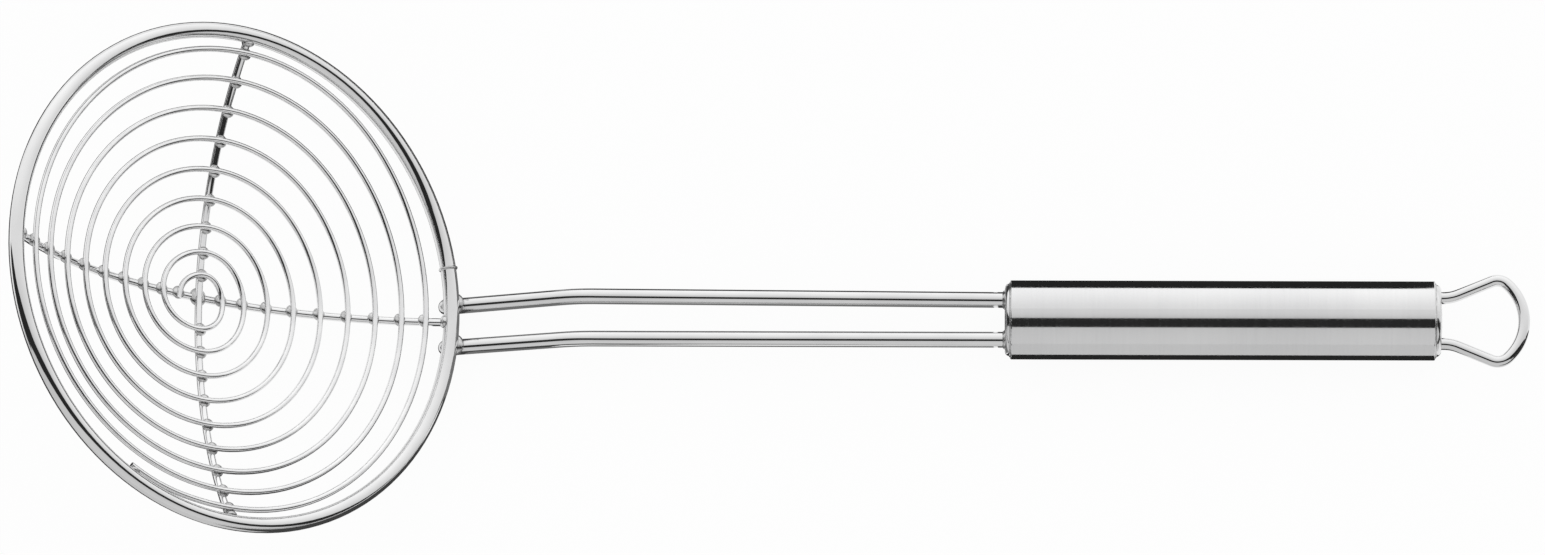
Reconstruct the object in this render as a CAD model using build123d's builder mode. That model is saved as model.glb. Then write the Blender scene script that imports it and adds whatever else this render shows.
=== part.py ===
# Spider skimmer: a shallow wire bowl on a long double-rod neck with a hollow tube handle.
# It lies as on a table: the handle axis runs along X at the height of its own radius, the bowl is
# at the -X end with its hollow facing up, and the hanging loop is at the +X end.

from build123d import *
from math import atan2, cos, pi, radians, sin, sqrt, tan
import os

os.makedirs("parts", exist_ok=True)

# Driving dimensions, in millimetres and degrees

# Bowl: a round rod bent to a ring, crossed by two spokes that carry a wound wire
rim_radius = 64.1
rim_wire = 4.0
bowl_depth = 20.3
bowl_tilt = 32.4
bowl_swing = 1.5
spoke_wire = 2.0
cross_spoke_offset = 1.6
hub_press = 1.0
spiral_wire = 1.5
spiral_laps = 9
spiral_end_angle = 26.0
rim_butt_angle = 12.5

# Crossings of the wound wire along the tip, right, handle and left arms: the first lap's distance
# from the hub as a share of the rim's radius, the last lap's distance from the rim wire's
# centreline, a bow in the middle laps, and a skew that makes the middle steps wider
arm_first_shares = (0.095, 0.083, 0.097, 0.140)
arm_last_gaps = (5.77, 4.49, 7.88, 3.97)
arm_bow_shares = (-0.028, -0.011, 0.014, 0.014)
arm_skew_share = -0.015

# Neck: two rods side by side
rod_wire = 4.0
rod_spacing_at_tip = 10.8
rod_spacing_at_bend = 11.2
rod_spacing_at_cap = 10.5
rod_tip_to_bend = 33.1
rod_bend_to_cap = 108.2
rod_bend_rise = 1.2
rod_bend_radius = 30.0
rod_reach = 2.4
rod_insert = 12.0

# Handle: a thin tube closed by two pressed caps
tube_diameter = 20.0
tube_wall = 0.8
tube_length = 107.4
tube_edge_radius = 0.35
cap_wall = 0.8
cap_skirt = 6.0
front_cap_projection = 1.4
front_cap_edge_radius = 1.1
front_cap_dome = 0.1
rear_cap_projection = 1.7
rear_cap_edge_radius = 1.5
rear_cap_dome = 0.3

# Hanging loop: one bent wire
loop_wire = 3.0
loop_reach = 20.8
loop_leg_spacing = 12.1
loop_corner_radius = 3.8
loop_corner_angle = 46.6
loop_end_radius = 13.3
loop_leg_radius = 10.0
loop_flare = 23.0
loop_insert = 4.0

# Clearances and weld sizes
wire_gap = 0.02
seat_gap = 0.05
cap_gap = 0.05
hole_gap = 0.15
weld_gap = 0.03
wire_weld_radius = 1.7
wire_weld_height = 0.95
hub_weld_radius = 2.4
hub_weld_height = 0.9
spoke_weld_radius = 1.6
spoke_weld_height = 1.0
end_weld_radius = 1.4
end_weld_height = 0.8
neck_weld_radius = 2.9
neck_weld_height = 1.7
rim_bead_radius = 0.4
rod_bead_width = 0.5
rod_bead_length = 0.6
seam_bead_radius = 0.3
loop_bead_width = 0.8
loop_bead_length = 1.0
bead_turn = 35.0

# Radii
rim_r = rim_wire / 2
spoke_r = spoke_wire / 2
spiral_r = spiral_wire / 2
rod_r = rod_wire / 2
tube_r = tube_diameter / 2
loop_r = loop_wire / 2

# Where things stand: z = 0 is the table, and both the tube and the rod tips lie on it
handle_z = tube_r
tilt_cos = cos(radians(bowl_tilt))
tilt_sin = sin(radians(bowl_tilt))
swing_cos = cos(radians(bowl_swing))
swing_sin = sin(radians(bowl_swing))

# The rod in side view, from the ball at its tip up to the bend
rod_drop = handle_z + rod_bend_rise - rod_r
rod_slope = atan2(rod_drop, rod_tip_to_bend)

# Distance from the rod tip's centre to the rim's centre, along X
rim_on_rod = rim_r + rod_r + seat_gap
tip_side_angle = rod_spacing_at_tip / 2 / rim_radius
rim_contact = rim_radius * cos(tip_side_angle)
tip_from_bowl_x = (
    rim_contact * tilt_cos * swing_cos - rod_reach * cos(rod_slope) + rim_on_rod * sin(rod_slope)
)
rim_height = (
    rod_r + rod_reach * sin(rod_slope) + rim_on_rod * cos(rod_slope) + rim_contact * tilt_sin
)

# Stations along X: the whole length is centred on the origin
bowl_front = rim_radius * sqrt(tilt_cos**2 * swing_cos**2 + swing_sin**2) + rim_r
tube_from_bowl = tip_from_bowl_x + rod_tip_to_bend + rod_bend_to_cap + front_cap_projection
object_length = (
    bowl_front + tube_from_bowl + tube_length + rear_cap_projection + loop_reach + loop_r
)
bowl_x = bowl_front - object_length / 2
rod_tip_x = bowl_x + tip_from_bowl_x
rod_bend_x = rod_tip_x + rod_tip_to_bend
tube_start = bowl_x + tube_from_bowl
tube_end = tube_start + tube_length
front_face_x = tube_start - front_cap_projection
rear_face_x = tube_end + rear_cap_projection

# The bowl's own frame: x to the handle, y to the left, z up out of the hollow
bowl_y = rim_radius * tilt_cos * swing_sin
bowl_plane = Plane(
    origin=(bowl_x, bowl_y, rim_height),
    x_dir=(tilt_cos * swing_cos, -tilt_cos * swing_sin, -tilt_sin),
    z_dir=(tilt_sin * swing_cos, -tilt_sin * swing_sin, tilt_cos),
)

# Each spoke is an arc that ends on the rim wire's centreline at both sides
cross_depth = bowl_depth
axial_depth = bowl_depth + hub_press
cross_half = sqrt(rim_radius**2 - cross_spoke_offset**2)
cross_arc = (cross_half**2 + cross_depth**2) / (2 * cross_depth)
axial_arc = (rim_radius**2 + axial_depth**2) / (2 * axial_depth)


def arc_height(arc_radius, depth, distance):
    """Height of a spoke's arc in the bowl's frame, at a distance from its middle."""
    return arc_radius - depth - sqrt(arc_radius**2 - distance**2)


def arm_place(arm, distance, lift):
    """Point over an arm at a distance from the hub, lifted square off the spoke's centreline."""
    along = distance if arm in (1, 2) else -distance
    if arm in (1, 3):
        height = arc_height(cross_arc - lift, cross_depth - lift, along)
        return Vector(cross_spoke_offset, along, height)
    station = cross_spoke_offset + along
    return Vector(station, 0, arc_height(axial_arc - lift, axial_depth - lift, station))


def in_bowl(place):
    """Place in the part's frame for a place in the bowl's frame."""
    return bowl_plane.from_local_coords(place)


def along_bowl(direction):
    """Direction in the part's frame for a direction in the bowl's frame."""
    return bowl_plane.from_local_coords(direction) - bowl_plane.origin


def crossing_distance(lap, arm):
    """Distance of a crossing from the hub: nearly even steps, a little bowed."""
    share = lap / (spiral_laps - 1)
    first = rim_radius * arm_first_shares[arm]
    last = rim_radius - arm_last_gaps[arm]
    arch = 4 * share * (1 - share)
    bend = arm_bow_shares[arm] + 2 * arm_skew_share * (1 - 2 * share)
    return first + (last - first) * share + rim_radius * arch * bend


def biarc(start, start_heading, end, end_heading):
    """Joint and heading of the two tangent arcs that link two stations."""
    chord = end - start
    a = 2 * (1 - start_heading.dot(end_heading))
    b = 2 * chord.dot(start_heading + end_heading)
    reach = (sqrt(b**2 + 4 * a * chord.dot(chord)) - b) / (2 * a)
    first = start + start_heading * reach
    second = end - end_heading * reach
    return (first + second) * 0.5, (second - first).normalized()


def round_wire(path, radius):
    """Round solid along a path, used to keep a weld clear of a wire."""
    with BuildPart() as wire:
        with BuildSketch(Plane(path @ 0, z_dir=path % 0)):
            Circle(radius)
        sweep(path=path)
    return wire.part


def weld_bead(place, axis, along, radius, half_height):
    """Flat round bead of weld metal, square to an axis, on a wire that runs along."""
    with BuildPart() as bead:
        with BuildSketch(Plane.XZ):
            Ellipse(radius, half_height)
            Rectangle(
                radius,
                2 * half_height,
                align=(Align.MIN, Align.CENTER),
                mode=Mode.INTERSECT,
            )
        revolve(axis=Axis.Z)
    return Plane(place, x_dir=along, z_dir=axis) * Rotation(0, 0, bead_turn) * bead.part


# Stations of the wound wire: one on each arm in every lap, turning clockwise from above
wire_lift = spoke_r + spiral_r + wire_gap
arm_headings = (
    (Vector(-1, 0, 0), Vector(0, 1, 0)),
    (Vector(0, 1, 0), Vector(1, 0, 0)),
    (Vector(1, 0, 0), Vector(0, -1, 0)),
    (Vector(0, -1, 0), Vector(-1, 0, 0)),
)
crossings = [(lap, arm) for lap in range(spiral_laps) for arm in range(len(arm_headings))]
distances = [crossing_distance(lap, arm) for lap, arm in crossings]
stations = [arm_place(arm, span, wire_lift) for (lap, arm), span in zip(crossings, distances)]
headings = []
for index, (lap, arm) in enumerate(crossings):
    before = max(index - 1, 0)
    after = min(index + 1, len(crossings) - 1)
    turned = (after - before) * pi / 2
    growth = (distances[after] - distances[before]) / turned
    climb = (stations[after].Z - stations[before].Z) / turned
    outward, onward = arm_headings[arm]
    heading = onward * distances[index] + outward * growth + Vector(0, 0, 1) * climb
    headings.append(heading.normalized())

# The wire's outer end lies along the inside of the rim
end_turn = radians(spiral_end_angle)
end_distance = rim_radius - rim_r - spiral_r - seat_gap
stations.append(Vector(-end_distance * sin(end_turn), -end_distance * cos(end_turn), 0))
headings.append(Vector(-cos(end_turn), sin(end_turn), 0))
stations = [in_bowl(station) for station in stations]
headings = [along_bowl(heading) for heading in headings]

# Bowl: rim, spokes and wound wire

with BuildPart(bowl_plane) as rim_ring:
    Torus(rim_radius, rim_r)
rim_ring.part.label = "rim_ring"

with BuildPart(bowl_plane) as rim_clearance:
    Torus(rim_radius, rim_r + weld_gap)

with BuildPart() as cross_spoke:
    with BuildLine(bowl_plane) as cross_path:
        ThreePointArc(
            (cross_spoke_offset, cross_half, 0),
            (cross_spoke_offset, 0, -cross_depth),
            (cross_spoke_offset, -cross_half, 0),
        )
    with BuildSketch(Plane(cross_path.line @ 0, z_dir=cross_path.line % 0)):
        Circle(spoke_r)
    sweep()
    add(rim_clearance.part, mode=Mode.SUBTRACT)
cross_spoke.part.label = "cross_spoke"

with BuildPart() as axial_spoke:
    with BuildLine(bowl_plane) as axial_path:
        ThreePointArc((-rim_radius, 0, 0), (0, 0, -axial_depth), (rim_radius, 0, 0))
    with BuildSketch(Plane(axial_path.line @ 0, z_dir=axial_path.line % 0)):
        Circle(spoke_r)
    sweep()
    add(rim_clearance.part, mode=Mode.SUBTRACT)
    # The saddle that the cross spoke is pressed into
    add(round_wire(cross_path.line, spoke_r + wire_gap), mode=Mode.SUBTRACT)
axial_spoke.part.label = "axial_spoke"

# The wire's free ends and, between the stations, the joints of its arcs
wire_start = stations[0] - headings[0] * spiral_wire
wire_end = stations[-1] + headings[-1] * spiral_wire
joints = []
for start, heading, end, end_heading in zip(stations, headings, stations[1:], headings[1:]):
    joints.append(biarc(start, heading, end, end_heading))

with BuildPart() as spiral:
    with BuildLine() as spiral_path:
        Line(wire_start, stations[0])
        for index, (joint, joint_heading) in enumerate(joints):
            TangentArc(stations[index], joint, tangent=headings[index])
            TangentArc(joint, stations[index + 1], tangent=joint_heading)
        Line(stations[-1], wire_end)
    with BuildSketch(Plane(spiral_path.line @ 0, z_dir=spiral_path.line % 0)):
        Circle(spiral_r)
    sweep()
spiral.part.label = "spiral_wire"

# Shapes that keep the welds clear of the wires
cross_clearance = round_wire(cross_path.line, spoke_r + weld_gap)
axial_clearance = round_wire(axial_path.line, spoke_r + weld_gap)


def wire_near(index):
    """The wound wire close to one station, thickened by the weld clearance."""
    with BuildLine() as near_path:
        if index > 0:
            joint, joint_heading = joints[index - 1]
            TangentArc(joint, stations[index], tangent=joint_heading)
        else:
            Line(wire_start, stations[0])
        if index < len(joints):
            TangentArc(stations[index], joints[index][0], tangent=headings[index])
        else:
            Line(stations[-1], wire_end)
    return round_wire(near_path.line, spiral_r + weld_gap)


# Welds in the bowl

butt_turn = radians(rim_butt_angle)
butt_place = in_bowl(Vector(rim_radius * cos(butt_turn), rim_radius * sin(butt_turn), 0))
butt_heading = along_bowl(Vector(-sin(butt_turn), cos(butt_turn), 0))
with BuildPart() as rim_butt_weld:
    with Locations(Plane(butt_place, z_dir=butt_heading)):
        Torus(rim_r, rim_bead_radius)
    add(rim_clearance.part, mode=Mode.SUBTRACT)
rim_butt_weld.part.label = "rim_butt_weld"

cross_low = in_bowl(Vector(cross_spoke_offset, 0, -cross_depth))
axial_low = in_bowl(Vector(0, 0, -axial_depth))
hub_place = in_bowl(Vector(cross_spoke_offset, 0, -cross_depth - hub_press / 2))
with BuildPart() as hub_weld:
    add(
        weld_bead(
            hub_place,
            bowl_plane.z_dir,
            bowl_plane.x_dir,
            hub_weld_radius,
            hub_weld_height,
        )
    )
    add(cross_clearance, mode=Mode.SUBTRACT)
    add(axial_clearance, mode=Mode.SUBTRACT)
hub_weld.part.label = "hub_weld"

spoke_ends = (
    (in_bowl(Vector(cross_spoke_offset, cross_half, 0)), cross_low),
    (in_bowl(Vector(cross_spoke_offset, -cross_half, 0)), cross_low),
    (in_bowl(Vector(rim_radius, 0, 0)), axial_low),
    (in_bowl(Vector(-rim_radius, 0, 0)), axial_low),
)
with BuildPart() as spoke_rim_welds:
    for end, low in spoke_ends:
        inward = (low - end).normalized()
        add(
            weld_bead(
                end + inward * rim_r,
                inward,
                inward.cross(bowl_plane.z_dir),
                spoke_weld_radius,
                spoke_weld_height,
            )
        )
    add(rim_clearance.part, mode=Mode.SUBTRACT)
    add(cross_clearance, mode=Mode.SUBTRACT)
    add(axial_clearance, mode=Mode.SUBTRACT)
    add(wire_near(len(crossings) - 1), mode=Mode.SUBTRACT)
spoke_rim_welds.part.label = "spoke_rim_welds"

end_outward = Vector(-sin(end_turn), -cos(end_turn), 0)
end_touch = in_bowl(end_outward * (rim_radius - rim_r))
with BuildPart() as spiral_end_weld:
    add(
        weld_bead(
            end_touch,
            along_bowl(end_outward),
            headings[-1],
            end_weld_radius,
            end_weld_height,
        )
    )
    add(rim_clearance.part, mode=Mode.SUBTRACT)
    add(wire_near(len(crossings)), mode=Mode.SUBTRACT)
spiral_end_weld.part.label = "spiral_end_weld"


def arm_beads(arm):
    """Beads where the wound wire touches a spoke."""
    beads = []
    for lap in range(spiral_laps):
        distance = crossing_distance(lap, arm)
        index = crossings.index((lap, arm))
        low = in_bowl(arm_place(arm, distance, 0))
        touch = in_bowl(arm_place(arm, distance, spoke_r + wire_gap / 2))
        with BuildPart() as bead:
            add(
                weld_bead(
                    touch,
                    touch - low,
                    headings[index],
                    wire_weld_radius,
                    wire_weld_height,
                )
            )
            add(wire_near(index), mode=Mode.SUBTRACT)
        beads.append(bead.part)
    return beads


with BuildPart() as spiral_welds_tip:
    add(arm_beads(0))
    add(axial_clearance, mode=Mode.SUBTRACT)
spiral_welds_tip.part.label = "spiral_welds_tip"

with BuildPart() as spiral_welds_right:
    add(arm_beads(1))
    add(cross_clearance, mode=Mode.SUBTRACT)
    add(spoke_rim_welds.part, mode=Mode.SUBTRACT)
spiral_welds_right.part.label = "spiral_welds_right"

with BuildPart() as spiral_welds_handle:
    add(arm_beads(2))
    add(axial_clearance, mode=Mode.SUBTRACT)
spiral_welds_handle.part.label = "spiral_welds_handle"

with BuildPart() as spiral_welds_left:
    add(arm_beads(3))
    add(cross_clearance, mode=Mode.SUBTRACT)
    add(spoke_rim_welds.part, mode=Mode.SUBTRACT)
spiral_welds_left.part.label = "spiral_welds_left"

# Neck: left and right are as the holder sees them, so the left rod is at -Y


def rod_stations(side):
    """Tip, bend and cap places of a rod's centreline; side is -1 for left and 1 for right."""
    tip = Vector(rod_tip_x, side * rod_spacing_at_tip / 2, rod_r)
    bend = Vector(rod_bend_x, side * rod_spacing_at_bend / 2, handle_z + rod_bend_rise)
    cap = Vector(front_face_x, side * rod_spacing_at_cap / 2, handle_z)
    return tip, bend, cap


def rod_centreline(side):
    """Centreline of a rod: straight, one gentle bend, and straight on into the handle."""
    tip, bend, cap = rod_stations(side)
    front_heading = (bend - tip).normalized()
    rear_heading = (cap - bend).normalized()
    turn = radians(front_heading.get_angle(rear_heading))
    bend_start = bend - front_heading * rod_bend_radius * tan(turn / 2)
    bend_end = bend + rear_heading * rod_bend_radius * tan(turn / 2)
    with BuildLine() as line:
        Line(tip, bend_start)
        TangentArc(bend_start, bend_end, tangent=front_heading)
        Line(bend_end, cap + rear_heading * rod_insert)
    return line.line


left_path = rod_centreline(-1)
with BuildPart() as neck_rod_left:
    with BuildSketch(Plane(left_path @ 0, z_dir=left_path % 0)):
        Circle(rod_r)
    sweep(path=left_path)
    with Locations(left_path @ 0):
        Sphere(rod_r)
neck_rod_left.part.label = "neck_rod_left"

right_path = rod_centreline(1)
with BuildPart() as neck_rod_right:
    with BuildSketch(Plane(right_path @ 0, z_dir=right_path % 0)):
        Circle(rod_r)
    sweep(path=right_path)
    with Locations(right_path @ 0):
        Sphere(rod_r)
neck_rod_right.part.label = "neck_rod_right"

with BuildPart() as left_clearance:
    add(round_wire(left_path, rod_r + weld_gap))
    with Locations(left_path @ 0):
        Sphere(rod_r + weld_gap)

with BuildPart() as right_clearance:
    add(round_wire(right_path, rod_r + weld_gap))
    with Locations(right_path @ 0):
        Sphere(rod_r + weld_gap)

rod_square = Vector(-sin(rod_slope), 0, cos(rod_slope))


def rod_contact(side):
    """Where the rim rests on a rod."""
    tip, bend, cap = rod_stations(side)
    along = (bend - tip).normalized()
    return tip + along * rod_reach + rod_square * (rod_r + seat_gap / 2)


with BuildPart() as neck_rim_weld_left:
    add(
        weld_bead(
            rod_contact(-1),
            rod_square,
            left_path % 0,
            neck_weld_radius,
            neck_weld_height,
        )
    )
    add(rim_clearance.part, mode=Mode.SUBTRACT)
    add(left_clearance.part, mode=Mode.SUBTRACT)
neck_rim_weld_left.part.label = "neck_rim_weld_left"

with BuildPart() as neck_rim_weld_right:
    add(
        weld_bead(
            rod_contact(1),
            rod_square,
            right_path % 0,
            neck_weld_radius,
            neck_weld_height,
        )
    )
    add(rim_clearance.part, mode=Mode.SUBTRACT)
    add(right_clearance.part, mode=Mode.SUBTRACT)
neck_rim_weld_right.part.label = "neck_rim_weld_right"

# Handle: tube, pressed caps and the seams between them
axis_plane = Plane(origin=(0, 0, handle_z), x_dir=(1, 0, 0), z_dir=(0, -1, 0))
handle_axis = Axis((0, 0, handle_z), (1, 0, 0))
bore_r = tube_r - tube_wall
cap_r = bore_r - cap_gap

with BuildPart(Plane(origin=(tube_start, 0, handle_z), z_dir=(1, 0, 0))) as handle_tube:
    Cylinder(tube_r, tube_length, align=(Align.CENTER, Align.CENTER, Align.MIN))
    fillet(handle_tube.edges(), tube_edge_radius)
    Cylinder(
        bore_r,
        tube_length,
        align=(Align.CENTER, Align.CENTER, Align.MIN),
        mode=Mode.SUBTRACT,
    )
handle_tube.part.label = "handle_tube"


def cap_section(face_x, lip_x, edge_radius, dome):
    """Half section of a pressed cup between its domed face and its open lip."""
    inward = 1 if lip_x > face_x else -1
    corner = (face_x + inward * dome, cap_r)
    inner_corner = (corner[0] + inward * cap_wall, cap_r - cap_wall)
    inner_face = (face_x + inward * cap_wall, 0)
    with BuildSketch(axis_plane) as section:
        with BuildLine():
            TangentArc((face_x, 0), corner, tangent=(0, 1))
            Line(corner, (lip_x, cap_r))
            Line((lip_x, cap_r), (lip_x, inner_corner[1]))
            Line((lip_x, inner_corner[1]), inner_corner)
            TangentArc(inner_face, inner_corner, tangent=(0, 1))
            Line(inner_face, (face_x, 0))
        make_face()
        outer_vertex = section.vertices().sort_by_distance((corner[0], corner[1], 0))[0]
        fillet(outer_vertex, edge_radius)
        near = (inner_corner[0], inner_corner[1], 0)
        inner_vertex = section.vertices().sort_by_distance(near)[0]
        fillet(inner_vertex, max(edge_radius - cap_wall, edge_radius / 4))
    return section.sketch


with BuildPart() as front_cap:
    add(
        cap_section(
            front_face_x,
            tube_start + cap_skirt,
            front_cap_edge_radius,
            front_cap_dome,
        )
    )
    revolve(axis=handle_axis)
    add(round_wire(left_path, rod_r + hole_gap), mode=Mode.SUBTRACT)
    add(round_wire(right_path, rod_r + hole_gap), mode=Mode.SUBTRACT)
front_cap.part.label = "front_cap"

with BuildPart() as front_seam_weld:
    with BuildSketch(axis_plane):
        with Locations((tube_start - weld_gap, cap_r + weld_gap)):
            Circle(seam_bead_radius)
            Rectangle(
                seam_bead_radius,
                seam_bead_radius,
                align=(Align.MAX, Align.MIN),
                mode=Mode.INTERSECT,
            )
    revolve(axis=handle_axis)
front_seam_weld.part.label = "front_seam_weld"

# Hanging loop: straight legs, a flare, two round corners and a wide end arc
flare = radians(loop_flare)
flare_heading = Vector(cos(flare), sin(flare))
end_centre = Vector(loop_reach - loop_end_radius, 0)
corner_turn = radians(loop_corner_angle)
corner_out = Vector(cos(corner_turn), sin(corner_turn))
corner_centre = end_centre + corner_out * (loop_end_radius - loop_corner_radius)
corner_start = corner_centre + Vector(-sin(flare), cos(flare)) * loop_corner_radius
corner_end = end_centre + corner_out * loop_end_radius
leg_y = loop_leg_spacing / 2
leg_bend = Vector(corner_start.X - (corner_start.Y - leg_y) / tan(flare), leg_y)
leg_trim = loop_leg_radius * tan(flare / 2)
leg_bend_start = leg_bend - Vector(leg_trim, 0)
leg_bend_end = leg_bend + flare_heading * leg_trim

loop_start = Vector(rear_face_x, 0, handle_z)
with BuildPart() as hanging_loop:
    with BuildLine() as loop_path:
        Line(loop_start + Vector(-loop_insert, leg_y), loop_start + leg_bend_start)
        TangentArc(
            loop_start + leg_bend_start,
            loop_start + leg_bend_end,
            tangent=(1, 0),
        )
        Line(loop_start + leg_bend_end, loop_start + corner_start)
        TangentArc(
            loop_start + corner_start,
            loop_start + corner_end,
            tangent=flare_heading,
        )
        TangentArc(
            loop_start + corner_end,
            loop_start + Vector(loop_reach, 0),
            tangent=(corner_out.Y, -corner_out.X),
        )
        mirror(about=Plane.XZ)
    with BuildSketch(Plane(loop_path.line @ 0, z_dir=loop_path.line % 0)):
        Circle(loop_r)
    sweep()
hanging_loop.part.label = "hanging_loop"

with BuildPart() as rear_cap:
    add(
        cap_section(
            rear_face_x,
            tube_end - cap_skirt,
            rear_cap_edge_radius,
            rear_cap_dome,
        )
    )
    revolve(axis=handle_axis)
    add(round_wire(loop_path.line, loop_r + hole_gap), mode=Mode.SUBTRACT)
rear_cap.part.label = "rear_cap"

with BuildPart() as rear_seam_weld:
    with BuildSketch(axis_plane):
        with Locations((tube_end + weld_gap, cap_r + weld_gap)):
            Circle(seam_bead_radius)
            Rectangle(
                seam_bead_radius,
                seam_bead_radius,
                align=(Align.MIN, Align.MIN),
                mode=Mode.INTERSECT,
            )
    revolve(axis=handle_axis)
rear_seam_weld.part.label = "rear_seam_weld"

# Weld collars at the caps, square to the cap faces


def weld_collar(place, radius, width, length):
    """Cone of weld metal round a wire, from its wide end towards the bowl."""
    with BuildPart() as collar:
        with Locations(Plane(place, z_dir=(-1, 0, 0))):
            Cone(
                radius + width,
                radius,
                length,
                align=(Align.CENTER, Align.CENTER, Align.MIN),
            )
    return collar.part


rod_y = rod_spacing_at_cap / 2
collar_x = front_face_x - weld_gap

with BuildPart() as rod_cap_weld_left:
    add(weld_collar((collar_x, -rod_y, handle_z), rod_r, rod_bead_width, rod_bead_length))
    add(left_clearance.part, mode=Mode.SUBTRACT)
rod_cap_weld_left.part.label = "rod_cap_weld_left"

with BuildPart() as rod_cap_weld_right:
    add(weld_collar((collar_x, rod_y, handle_z), rod_r, rod_bead_width, rod_bead_length))
    add(right_clearance.part, mode=Mode.SUBTRACT)
rod_cap_weld_right.part.label = "rod_cap_weld_right"

inner_x = rear_face_x - cap_wall
with BuildPart() as loop_inner_welds:
    add(weld_collar((inner_x, -leg_y, handle_z), loop_r, loop_bead_width, loop_bead_length))
    add(weld_collar((inner_x, leg_y, handle_z), loop_r, loop_bead_width, loop_bead_length))
    add(round_wire(loop_path.line, loop_r + weld_gap), mode=Mode.SUBTRACT)
    add(rear_cap.part, mode=Mode.SUBTRACT)
loop_inner_welds.part.label = "loop_inner_welds"

# Each piece to its own file
export_step(rim_ring.part, "parts/rim_ring.step")
export_step(rim_butt_weld.part, "parts/rim_butt_weld.step")
export_step(cross_spoke.part, "parts/cross_spoke.step")
export_step(axial_spoke.part, "parts/axial_spoke.step")
export_step(hub_weld.part, "parts/hub_weld.step")
export_step(spoke_rim_welds.part, "parts/spoke_rim_welds.step")
export_step(spiral.part, "parts/spiral_wire.step")
export_step(spiral_welds_tip.part, "parts/spiral_welds_tip.step")
export_step(spiral_welds_right.part, "parts/spiral_welds_right.step")
export_step(spiral_welds_handle.part, "parts/spiral_welds_handle.step")
export_step(spiral_welds_left.part, "parts/spiral_welds_left.step")
export_step(spiral_end_weld.part, "parts/spiral_end_weld.step")
export_step(neck_rod_left.part, "parts/neck_rod_left.step")
export_step(neck_rod_right.part, "parts/neck_rod_right.step")
export_step(neck_rim_weld_left.part, "parts/neck_rim_weld_left.step")
export_step(neck_rim_weld_right.part, "parts/neck_rim_weld_right.step")
export_step(rod_cap_weld_left.part, "parts/rod_cap_weld_left.step")
export_step(rod_cap_weld_right.part, "parts/rod_cap_weld_right.step")
export_step(front_cap.part, "parts/front_cap.step")
export_step(front_seam_weld.part, "parts/front_seam_weld.step")
export_step(handle_tube.part, "parts/handle_tube.step")
export_step(rear_seam_weld.part, "parts/rear_seam_weld.step")
export_step(rear_cap.part, "parts/rear_cap.step")
export_step(hanging_loop.part, "parts/hanging_loop.step")
export_step(loop_inner_welds.part, "parts/loop_inner_welds.step")

# Least gap between neighbouring laps of the wound wire, measured on points of its centreline
path_points = []
travel = 0
for edge in spiral_path.edges():
    steps = max(2, round(edge.length / spiral_wire))
    for step in range(steps):
        path_points.append((travel + edge.length * step / steps, edge @ (step / steps)))
    travel += edge.length
apart = 4 * spiral_wire
least = min(
    (place - other).length
    for index, (along, place) in enumerate(path_points)
    for reach, other in path_points[index + 1 :]
    if reach - along > apart
)
print("least gap in the spiral:", round(least - spiral_wire, 2), "mm")
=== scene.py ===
import math

import bmesh
import bpy
from mathutils import Matrix, Vector


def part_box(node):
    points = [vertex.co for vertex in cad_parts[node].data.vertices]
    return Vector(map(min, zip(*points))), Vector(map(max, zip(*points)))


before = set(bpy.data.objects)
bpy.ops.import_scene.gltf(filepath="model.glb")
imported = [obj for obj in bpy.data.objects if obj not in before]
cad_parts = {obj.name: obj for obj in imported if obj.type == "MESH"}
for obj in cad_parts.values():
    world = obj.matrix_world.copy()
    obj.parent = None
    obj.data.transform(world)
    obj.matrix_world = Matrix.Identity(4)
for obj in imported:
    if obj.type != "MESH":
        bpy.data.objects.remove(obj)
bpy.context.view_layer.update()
print("skimmer loaded, pieces:", len(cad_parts))

# Camera: a long lens, almost straight above, side-on to the handle
cameraSetup = {
    "lens": 610.2,
    "sensor": 36.0,
    "distance": 6.62,
    "elevation": 73.084,
    "roll": 0.0027,
    "target": (-0.00008, 0.0101, 0.01307),
    "clip": (0.5, 20.0),
}


def makeCamera(setup):
    tilt = math.radians(setup["elevation"])
    back = Vector((0, -math.cos(tilt), math.sin(tilt)))
    right = Vector((1, 0, 0))
    up = back.cross(right)
    turn = setup["roll"]
    rightTurned = right * math.cos(turn) + up * math.sin(turn)
    upTurned = up * math.cos(turn) - right * math.sin(turn)
    data = bpy.data.cameras.new("longLens")
    data.lens = setup["lens"]
    data.sensor_width = setup["sensor"]
    data.clip_start, data.clip_end = setup["clip"]
    camera = bpy.data.objects.new("longLens", data)
    bpy.context.scene.collection.objects.link(camera)
    place = Vector(setup["target"]) + back * setup["distance"]
    turned = Matrix((rightTurned, upTurned, back)).transposed().to_4x4()
    camera.matrix_world = Matrix.Translation(place) @ turned
    bpy.context.scene.camera = camera


makeCamera(cameraSetup)
bpy.context.scene.view_settings.view_transform = "Standard"
print("camera set")


# Short calls for wiring a node tree
class Nodes:
    def __init__(self, tree):
        self.tree = tree

    def add(self, kind, values=None, **settings):
        node = self.tree.nodes.new(kind)
        for name, value in settings.items():
            setattr(node, name, value)
        for name, value in (values or {}).items():
            node.inputs[name].default_value = value
        return node

    def link(self, source, target):
        self.tree.links.new(source, target)


def newGroup(name, inputs, outputs):
    tree = bpy.data.node_groups.new(name, "ShaderNodeTree")
    for label, kind, value in inputs:
        socket = tree.interface.new_socket(name=label, in_out="INPUT", socket_type=kind)
        if value is not None:
            socket.default_value = value
    for label, kind in outputs:
        tree.interface.new_socket(name=label, in_out="OUTPUT", socket_type=kind)
    nodes = Nodes(tree)
    return tree, nodes, nodes.add("NodeGroupInput"), nodes.add("NodeGroupOutput")


floatKind = "NodeSocketFloat"
colorKind = "NodeSocketColor"
vectorKind = "NodeSocketVector"


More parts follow.
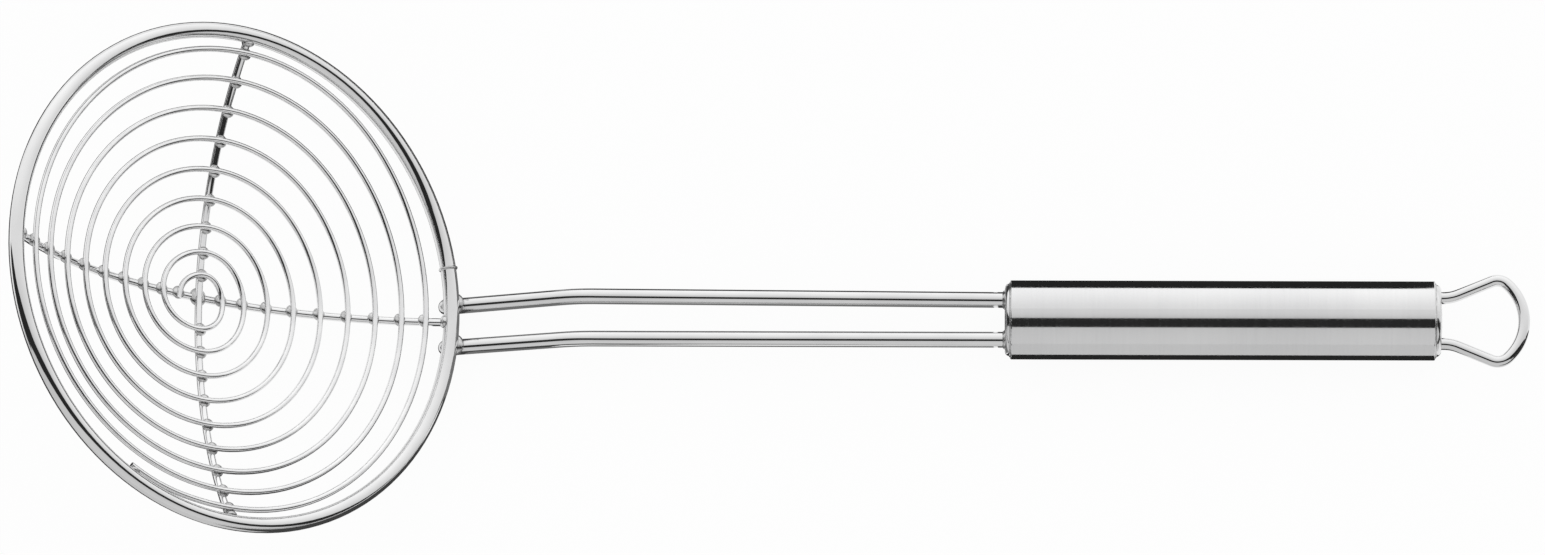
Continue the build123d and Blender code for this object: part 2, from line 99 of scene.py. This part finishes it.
# Fine lines that drawing or brushing leaves, stretched along one direction
def makeBrushGroup():
    tree, n, given, out = newGroup(
        "brushLines",
        [
            ("Stretch", vectorKind, (1, 1, 1)),
            ("Scale", floatKind, 1000.0),
            ("Rough low", floatKind, 0.12),
            ("Rough high", floatKind, 0.2),
            ("Depth", floatKind, 0.1),
        ],
        [("Roughness", floatKind), ("Normal", vectorKind), ("Lines", floatKind)],
    )
    place = n.add("ShaderNodeTexCoord")
    stretched = n.add("ShaderNodeVectorMath", operation="MULTIPLY")
    n.link(place.outputs["Object"], stretched.inputs[0])
    n.link(given.outputs["Stretch"], stretched.inputs[1])
    lines = n.add("ShaderNodeTexNoise", {"Detail": 3.0, "Roughness": 0.6})
    n.link(stretched.outputs[0], lines.inputs["Vector"])
    n.link(given.outputs["Scale"], lines.inputs["Scale"])
    rough = n.add("ShaderNodeMapRange", {"From Min": 0.3, "From Max": 0.7})
    n.link(lines.outputs["Fac"], rough.inputs["Value"])
    n.link(given.outputs["Rough low"], rough.inputs["To Min"])
    n.link(given.outputs["Rough high"], rough.inputs["To Max"])
    bump = n.add("ShaderNodeBump", {"Distance": 0.00002})
    n.link(lines.outputs["Fac"], bump.inputs["Height"])
    n.link(given.outputs["Depth"], bump.inputs["Strength"])
    n.link(rough.outputs["Result"], out.inputs["Roughness"])
    n.link(bump.outputs["Normal"], out.inputs["Normal"])
    n.link(lines.outputs["Fac"], out.inputs["Lines"])
    return tree


# Cloudy change of tone from handling, washing and heat, with streaks along the lines
def makeToneGroup():
    tree, n, given, out = newGroup(
        "useTone",
        [
            ("Light", colorKind, (0.8, 0.8, 0.8, 1)),
            ("Dark", colorKind, (0.7, 0.7, 0.7, 1)),
            ("Scale", floatKind, 60.0),
            ("Amount", floatKind, 0.5),
            ("Lines", floatKind, 0.5),
            ("Streak", floatKind, 0.0),
        ],
        [("Color", colorKind)],
    )
    place = n.add("ShaderNodeTexCoord")
    cloud = n.add("ShaderNodeTexNoise", {"Detail": 4.0, "Roughness": 0.55})
    n.link(place.outputs["Object"], cloud.inputs["Vector"])
    n.link(given.outputs["Scale"], cloud.inputs["Scale"])
    spread = n.add("ShaderNodeMapRange", {"From Min": 0.35, "From Max": 0.65})
    n.link(cloud.outputs["Fac"], spread.inputs["Value"])
    scaled = n.add("ShaderNodeMath", operation="MULTIPLY")
    n.link(spread.outputs["Result"], scaled.inputs[0])
    n.link(given.outputs["Amount"], scaled.inputs[1])
    streaks = n.add("ShaderNodeMath", operation="MULTIPLY_ADD", use_clamp=True)
    n.link(given.outputs["Lines"], streaks.inputs[0])
    n.link(given.outputs["Streak"], streaks.inputs[1])
    n.link(scaled.outputs[0], streaks.inputs[2])
    mixed = n.add("ShaderNodeMix", data_type="RGBA")
    n.link(streaks.outputs[0], mixed.inputs["Factor"])
    n.link(given.outputs["Light"], mixed.inputs["A"])
    n.link(given.outputs["Dark"], mixed.inputs["B"])
    n.link(mixed.outputs["Result"], out.inputs["Color"])
    return tree


brushGroup = makeBrushGroup()
toneGroup = makeToneGroup()
print("shader groups made")


def steelMaterial(name, look):
    material = bpy.data.materials.new(name)
    material.use_nodes = True
    n = Nodes(material.node_tree)
    shader = material.node_tree.nodes["Principled BSDF"]
    shader.inputs["Metallic"].default_value = 1.0
    brush = n.add("ShaderNodeGroup", node_tree=brushGroup)
    brush.inputs["Stretch"].default_value = look["stretch"]
    brush.inputs["Scale"].default_value = look["grain"]
    brush.inputs["Rough low"].default_value = look["rough"][0]
    brush.inputs["Rough high"].default_value = look["rough"][1]
    brush.inputs["Depth"].default_value = look["depth"]
    tone = n.add("ShaderNodeGroup", node_tree=toneGroup)
    tone.inputs["Light"].default_value = (*look["light"], 1)
    tone.inputs["Dark"].default_value = (*look["dark"], 1)
    tone.inputs["Scale"].default_value = look["cloud"]
    tone.inputs["Amount"].default_value = look["amount"]
    tone.inputs["Streak"].default_value = look["streak"]
    n.link(brush.outputs["Lines"], tone.inputs["Lines"])
    n.link(brush.outputs["Roughness"], shader.inputs["Roughness"])
    n.link(brush.outputs["Normal"], shader.inputs["Normal"])
    n.link(tone.outputs["Color"], shader.inputs["Base Color"])
    return material


def dress(material, *names):
    for name in names:
        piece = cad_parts[name]
        piece.data.materials.clear()
        piece.data.materials.append(material)


# Bright drawn wire: rim, neck rods, hanging loop
brightWire = {
    "stretch": (1, 1, 1),
    "grain": 900.0,
    "rough": (0.04, 0.08),
    "depth": 0.01,
    "streak": 0.1,
    "light": (0.8, 0.8, 0.8),
    "dark": (0.7, 0.7, 0.705),
    "cloud": 70.0,
    "amount": 0.5,
}
dress(steelMaterial("brightWire", brightWire), "rim_ring", "hanging_loop")

drawnRod = dict(brightWire, stretch=(0.02, 1, 1), grain=2500.0)
dress(steelMaterial("drawnRod", drawnRod), "neck_rod_left", "neck_rod_right")

# Thin wires of the bowl
thinWire = dict(brightWire, light=(0.9, 0.9, 0.9), dark=(0.74, 0.74, 0.75), cloud=180.0)
dress(steelMaterial("thinWire", thinWire), "spiral_wire", "cross_spoke", "axial_spoke")

# Satin tube, brushed round and round, and its pressed caps
satinTube = {
    "stretch": (1, 0.04, 0.04),
    "grain": 1800.0,
    "rough": (0.06, 0.13),
    "depth": 0.03,
    "streak": 0.45,
    "light": (0.79, 0.79, 0.79),
    "dark": (0.7, 0.7, 0.705),
    "cloud": 25.0,
    "amount": 0.6,
}
dress(steelMaterial("satinTube", satinTube), "handle_tube")
satinCap = dict(satinTube, stretch=(1, 1, 1), grain=1500.0, rough=(0.1, 0.16))
dress(steelMaterial("satinCap", satinCap), "front_cap", "rear_cap")

# Dull weld metal
weldMetal = {
    "stretch": (1, 1, 1),
    "grain": 1500.0,
    "rough": (0.15, 0.32),
    "depth": 0.3,
    "streak": 0.2,
    "light": (0.78, 0.78, 0.78),
    "dark": (0.45, 0.45, 0.45),
    "cloud": 900.0,
    "amount": 0.9,
}
welds = [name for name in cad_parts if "weld" in name]
dress(steelMaterial("weldMetal", weldMetal), *welds)
print("materials given")

# Studio: white table, pale room, and a soft dome that only mirror-like rays see
studio = {
    "room": 0.9,
    "tableSize": 30.0,
    "tableTone": 0.9,
    "tableRoughness": 0.9,
    "whiteShare": 0.94,
}

# The dome is light on the far side and greyer on the near side, with a dark arch over the object
# from left to right. Each list starts its points with a direction from -1 to 1: the arch's middle
# and half width go by how far right it points, and the cloth's level by how far near
domeSetup = {
    "radius": 5.0,
    "segments": (96, 48),
    "archMiddle": [(-1.0, 0.03), (-0.6, 0.26), (0.0, 0.403), (0.6, 0.29), (1.0, 0.27)],
    "archHalf": [(-1.0, 0.28), (-0.5, 0.24), (0.0, 0.213), (1.0, 0.2)],
    "archEdge": 0.012,
    "archLevel": 0.025,
    "clothScale": 2.0,
    "farToNear": [(-1.0, 1.2), (-0.8, 1.1), (0.0, 0.78), (0.2, 0.64), (0.6, 0.68), (1.0, 0.74)],
}


def onlyMirrored(card):
    card.visible_camera = False
    card.visible_diffuse = False
    card.visible_shadow = False
    card.visible_transmission = False


def putInScene(name, mesh):
    thing = bpy.data.objects.new(name, mesh)
    bpy.context.scene.collection.objects.link(thing)
    return thing


# 1 for rays that should meet plain white
def whenWhite(n):
    path = n.add("ShaderNodeLightPath")
    seen = n.add("ShaderNodeMath", operation="MAXIMUM")
    n.link(path.outputs["Is Camera Ray"], seen.inputs[0])
    n.link(path.outputs["Is Transmission Ray"], seen.inputs[1])
    mirrored = n.add("ShaderNodeMath", operation="MAXIMUM")
    n.link(seen.outputs[0], mirrored.inputs[0])
    n.link(path.outputs["Is Glossy Ray"], mirrored.inputs[1])
    return mirrored.outputs[0]


def makeRoom(setup):
    world = bpy.data.worlds.new("room")
    bpy.context.scene.world = world
    world.use_nodes = True
    n = Nodes(world.node_tree)
    sky = world.node_tree.nodes["Background"]
    level = n.add("ShaderNodeMapRange", {"To Min": setup["room"], "To Max": 1.0})
    n.link(whenWhite(n), level.inputs["Value"])
    n.link(level.outputs["Result"], sky.inputs["Strength"])
    sky.inputs["Color"].default_value = (1, 1, 1, 1)


def makeTable(setup):
    half = setup["tableSize"] / 2
    mesh = bpy.data.meshes.new("table")
    corners = [(-half, -half, 0), (half, -half, 0), (half, half, 0), (-half, half, 0)]
    mesh.from_pydata(corners, [], [(0, 1, 2, 3)])
    table = putInScene("table", mesh)
    material = bpy.data.materials.new("whiteTable")
    material.use_nodes = True
    n = Nodes(material.node_tree)
    shader = material.node_tree.nodes["Principled BSDF"]
    tone = setup["tableTone"]
    shader.inputs["Base Color"].default_value = (tone, tone, tone, 1)
    shader.inputs["Roughness"].default_value = setup["tableRoughness"]
    shader.inputs["Specular IOR Level"].default_value = 0.0
    glow = n.add("ShaderNodeEmission", {"Color": (1, 1, 1, 1), "Strength": 1.0})
    share = n.add("ShaderNodeMath", {1: setup["whiteShare"]}, operation="MULTIPLY")
    n.link(whenWhite(n), share.inputs[0])
    mix = n.add("ShaderNodeMixShader")
    n.link(share.outputs[0], mix.inputs["Fac"])
    n.link(shader.outputs["BSDF"], mix.inputs[1])
    n.link(glow.outputs["Emission"], mix.inputs[2])
    output = material.node_tree.nodes["Material Output"]
    n.link(mix.outputs["Shader"], output.inputs["Surface"])
    mesh.materials.append(material)


# A value that follows points given from -1 to 1
def curveOf(n, source, points, scale):
    place = n.add("ShaderNodeMapRange", {"From Min": -1.0, "From Max": 1.0})
    n.link(source, place.inputs["Value"])
    ramp = n.add("ShaderNodeValToRGB")
    n.link(place.outputs["Result"], ramp.inputs["Fac"])
    stops = ramp.color_ramp.elements
    while len(stops) < len(points):
        stops.new(1.0)
    for stop, (position, level) in zip(stops, points):
        stop.position = (position + 1) / 2
        stop.color = (level / scale, level / scale, level / scale, 1)
    grown = n.add("ShaderNodeMath", {1: scale}, operation="MULTIPLY")
    n.link(ramp.outputs["Color"], grown.inputs[0])
    return grown.outputs[0]


def makeDome(setup):
    mesh = bpy.data.meshes.new("dome")
    ball = bmesh.new()
    around, upward = setup["segments"]
    bmesh.ops.create_uvsphere(ball, u_segments=around, v_segments=upward, radius=setup["radius"])
    ball.to_mesh(mesh)
    ball.free()
    dome = putInScene("dome", mesh)
    material = bpy.data.materials.new("domeCloth")
    material.use_nodes = True
    material.node_tree.nodes.clear()
    n = Nodes(material.node_tree)
    place = n.add("ShaderNodeTexCoord")
    unit = n.add("ShaderNodeVectorMath", operation="NORMALIZE")
    n.link(place.outputs["Object"], unit.inputs[0])
    parts = n.add("ShaderNodeSeparateXYZ")
    n.link(unit.outputs[0], parts.inputs[0])
    near = n.add("ShaderNodeMath", {1: -1.0}, operation="MULTIPLY")
    n.link(parts.outputs["Y"], near.inputs[0])
    cloth = curveOf(n, near.outputs[0], setup["farToNear"], setup["clothScale"])
    middle = curveOf(n, parts.outputs["X"], setup["archMiddle"], 1.0)
    half = curveOf(n, parts.outputs["X"], setup["archHalf"], 1.0)
    off = n.add("ShaderNodeMath", operation="SUBTRACT")
    n.link(near.outputs[0], off.inputs[0])
    n.link(middle, off.inputs[1])
    away = n.add("ShaderNodeMath", operation="ABSOLUTE")
    n.link(off.outputs[0], away.inputs[0])
    past = n.add("ShaderNodeMath", operation="SUBTRACT")
    n.link(away.outputs[0], past.inputs[0])
    n.link(half, past.inputs[1])
    edge = setup["archEdge"]
    beyond = n.add("ShaderNodeMapRange", {"From Min": -edge, "From Max": edge})
    n.link(past.outputs[0], beyond.inputs["Value"])
    level = n.add("ShaderNodeMix", {"A": setup["archLevel"]})
    n.link(beyond.outputs["Result"], level.inputs["Factor"])
    n.link(cloth, level.inputs["B"])
    glow = n.add("ShaderNodeEmission")
    n.link(level.outputs["Result"], glow.inputs["Strength"])
    output = n.add("ShaderNodeOutputMaterial")
    n.link(glow.outputs["Emission"], output.inputs["Surface"])
    mesh.materials.append(material)
    onlyMirrored(dome)


def cardMaterial(name, level):
    material = bpy.data.materials.new(name)
    material.use_nodes = True
    material.node_tree.nodes.clear()
    n = Nodes(material.node_tree)
    glow = n.add("ShaderNodeEmission", {"Color": (level, level, level, 1)})
    output = n.add("ShaderNodeOutputMaterial")
    n.link(glow.outputs["Emission"], output.inputs["Surface"])
    return material


layerHeight = 0.0003


def makeCard(name, corners, layer, level):
    mesh = bpy.data.meshes.new(name)
    height = layer * layerHeight
    mesh.from_pydata([(x, y, height) for x, y in corners], [], [tuple(range(len(corners)))])
    mesh.materials.append(cardMaterial(name, level))
    onlyMirrored(putInScene(name, mesh))


def rectangle(xs, ys):
    return [(xs[0], ys[0]), (xs[1], ys[0]), (xs[1], ys[1]), (xs[0], ys[1])]


def ellipseIn(box, share, count=48):
    (lowX, lowY, _), (highX, highY, _) = box
    points = []
    for i in range(count):
        turn = 2 * math.pi * i / count
        x = (lowX + highX) / 2 + share * (highX - lowX) / 2 * math.cos(turn)
        y = (lowY + highY) / 2 + share * (highY - lowY) / 2 * math.sin(turn)
        points.append((x, y))
    return points


makeRoom(studio)
makeTable(studio)
makeDome(domeSetup)

# Painted reflections: cards just above the table, which only mirror-like rays see. The dark ones
# are painted shade of the floor below the tube, the rods and round the bowl; a light one lies
# inside the bowl, and a grey one on the near side. A higher layer covers a lower
nearEdge = -0.0195
tubeOver = 0.003
tubeLow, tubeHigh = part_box("handle_tube")
tubeX = (tubeLow[0] - tubeOver, tubeHigh[0] + tubeOver)
wedge = [(-0.12, -0.05), (-0.1, -0.2), (0.02, -0.26), (0.03, -0.1), (-0.035, -0.03)]
nearSide = [(-3, -3), (3, -3), (3, nearEdge), (0.055, nearEdge)]
nearSide += [(0, -0.04), (-0.05, -0.09), (-3, -0.09)]
paintedReflectionCards = {
    "tubeShadeCard": {"corners": rectangle(tubeX, (nearEdge, 0.5)), "layer": 3, "level": 0.02},
    "rodShadeCard": {"corners": rectangle((-0.078, 0.056), (-0.019, 0.022)), "layer": 3, "level": 0.2},
    "wedgeCard": {"corners": wedge, "layer": 2, "level": 0.06},
    "aroundCard": {"corners": rectangle((-0.3, -0.058), (-0.089, 0.15)), "layer": 1, "level": 0.06},
    "underCard": {"corners": ellipseIn(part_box("rim_ring"), 0.88), "layer": 2.5, "level": 0.9},
    "farCard": {"corners": rectangle((-0.055, 0.06), (0.022, 0.15)), "layer": 3, "level": 0.05},
    "rightCard": {"corners": rectangle((0.2, 1.6), (-0.8, 0)), "layer": 3, "level": 0.04},
    "nearCard": {"corners": nearSide, "layer": 1, "level": 0.68},
}
for name, card in paintedReflectionCards.items():
    makeCard(name, **card)
print("studio set")
